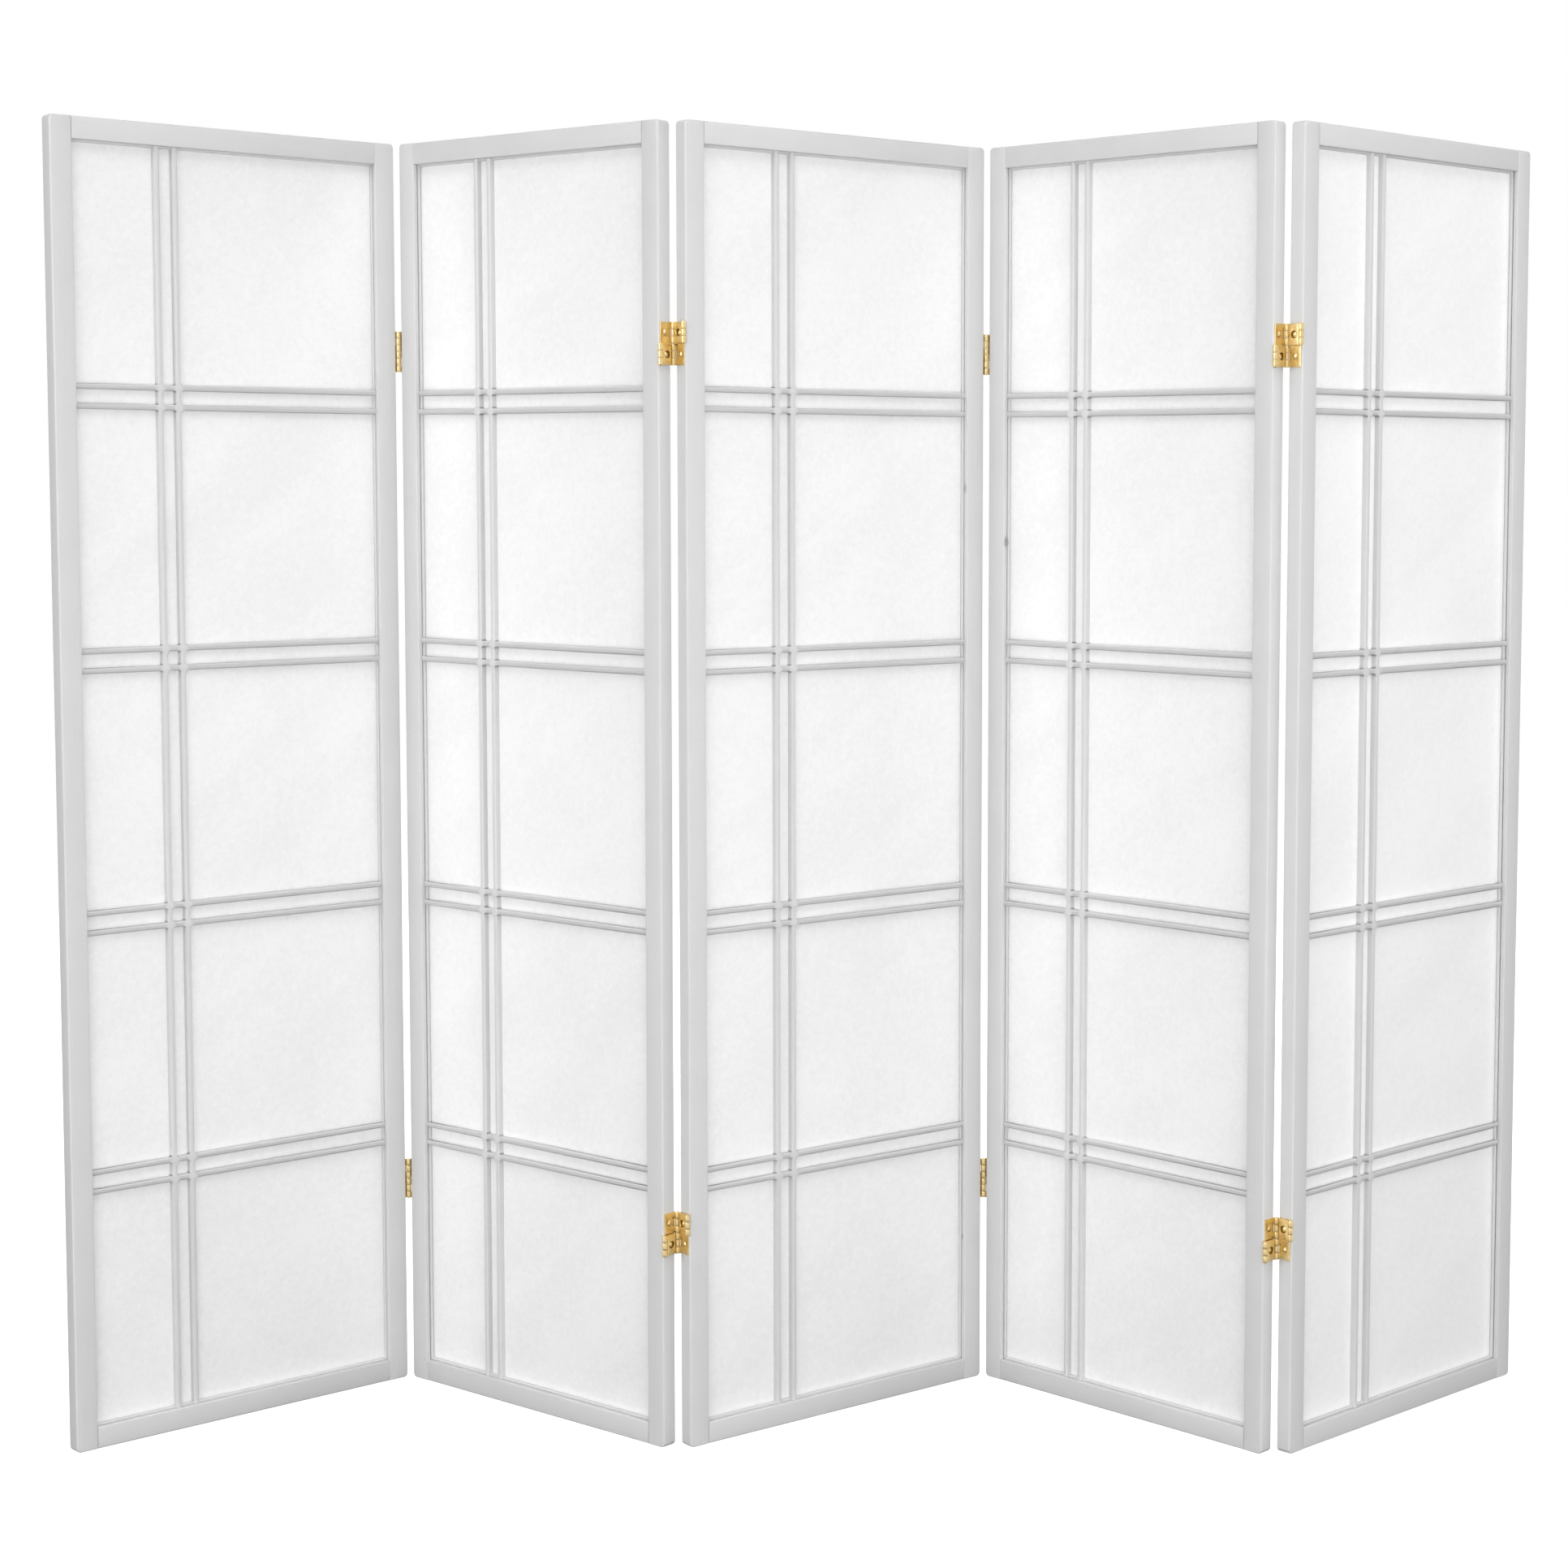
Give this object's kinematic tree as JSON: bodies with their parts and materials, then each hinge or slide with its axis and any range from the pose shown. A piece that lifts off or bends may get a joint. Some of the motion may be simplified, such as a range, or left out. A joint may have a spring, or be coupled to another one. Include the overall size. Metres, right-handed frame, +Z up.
{
  "type": "folding shoji screen",
  "caption": "Free-standing folding screen: paper-backed lattice panels in painted wooden frames, joined by double-action hinges and standing in a zig-zag.",
  "frame": {"origin": "middle of the zig-zag's plan, on the floor", "axes": "+X along the screen, left to right seen from its front; -Y is the front; +Z up"},
  "size_m": [1.6844, 0.3314, 1.49],
  "materials": {
    "frame_paint": "satin white paint over straight-grained wood",
    "lattice_paint": "satin white paint",
    "shoji_paper": "matte fibrous paper",
    "hinge_brass": "bright brass plate",
    "screw_brass": "bright brass plate"
  },
  "bodies": {
    "panel_1": {"left_stile_1": "frame_paint", "right_stile_1": "frame_paint", "top_rail_1": "frame_paint", "bottom_rail_1": "frame_paint", "lattice_uprights_1": "lattice_paint", "lattice_crossbars_1": "lattice_paint", "lattice_border_1": "lattice_paint", "paper_1": "shoji_paper", "hinge_plates_1": "hinge_brass", "hinge_leaves_1": "hinge_brass", "hinge_pins_1": "hinge_brass", "hinge_screws_1": "screw_brass"},
    "panel_2": {"left_stile_2": "frame_paint", "right_stile_2": "frame_paint", "top_rail_2": "frame_paint", "bottom_rail_2": "frame_paint", "lattice_uprights_2": "lattice_paint", "lattice_crossbars_2": "lattice_paint", "lattice_border_2": "lattice_paint", "paper_2": "shoji_paper", "hinge_plates_2": "hinge_brass", "hinge_leaves_2": "hinge_brass", "hinge_pins_2": "hinge_brass", "hinge_screws_2": "screw_brass"},
    "panel_3": {"left_stile_3": "frame_paint", "right_stile_3": "frame_paint", "top_rail_3": "frame_paint", "bottom_rail_3": "frame_paint", "lattice_uprights_3": "lattice_paint", "lattice_crossbars_3": "lattice_paint", "lattice_border_3": "lattice_paint", "paper_3": "shoji_paper", "hinge_plates_3": "hinge_brass", "hinge_leaves_3": "hinge_brass", "hinge_pins_3": "hinge_brass", "hinge_screws_3": "screw_brass"},
    "panel_4": {"left_stile_4": "frame_paint", "right_stile_4": "frame_paint", "top_rail_4": "frame_paint", "bottom_rail_4": "frame_paint", "lattice_uprights_4": "lattice_paint", "lattice_crossbars_4": "lattice_paint", "lattice_border_4": "lattice_paint", "paper_4": "shoji_paper", "hinge_plates_4": "hinge_brass", "hinge_leaves_4": "hinge_brass", "hinge_pins_4": "hinge_brass", "hinge_screws_4": "screw_brass"},
    "panel_5": {"left_stile_5": "frame_paint", "right_stile_5": "frame_paint", "top_rail_5": "frame_paint", "bottom_rail_5": "frame_paint", "lattice_uprights_5": "lattice_paint", "lattice_crossbars_5": "lattice_paint", "lattice_border_5": "lattice_paint", "paper_5": "shoji_paper", "hinge_plates_5": "hinge_brass", "hinge_leaves_5": "hinge_brass", "hinge_pins_5": "hinge_brass", "hinge_screws_5": "screw_brass"}
  },
  "joints": [
    {"name": "fold_1", "type": "hinge", "parent": "panel_2", "child": "panel_1", "pos_m": [-0.50636, 0.14729, 0.7465], "axis": [0, 0, 1], "range_deg": [-81.4, 98.6]},
    {"name": "fold_2", "type": "hinge", "parent": "panel_3", "child": "panel_2", "pos_m": [-0.15736, -0.11646, 0.7465], "axis": [0, 0, -1], "range_deg": [-78.9, 98.1]},
    {"name": "fold_3", "type": "hinge", "parent": "panel_3", "child": "panel_4", "pos_m": [0.19393, 0.14424, 0.7465], "axis": [0, 0, -1], "range_deg": [-83.8, 93.2]},
    {"name": "fold_4", "type": "hinge", "parent": "panel_4", "child": "panel_5", "pos_m": [0.51913, -0.14836, 0.7465], "axis": [0, 0, 1], "range_deg": [-88.9, 91.1]}
  ]
}
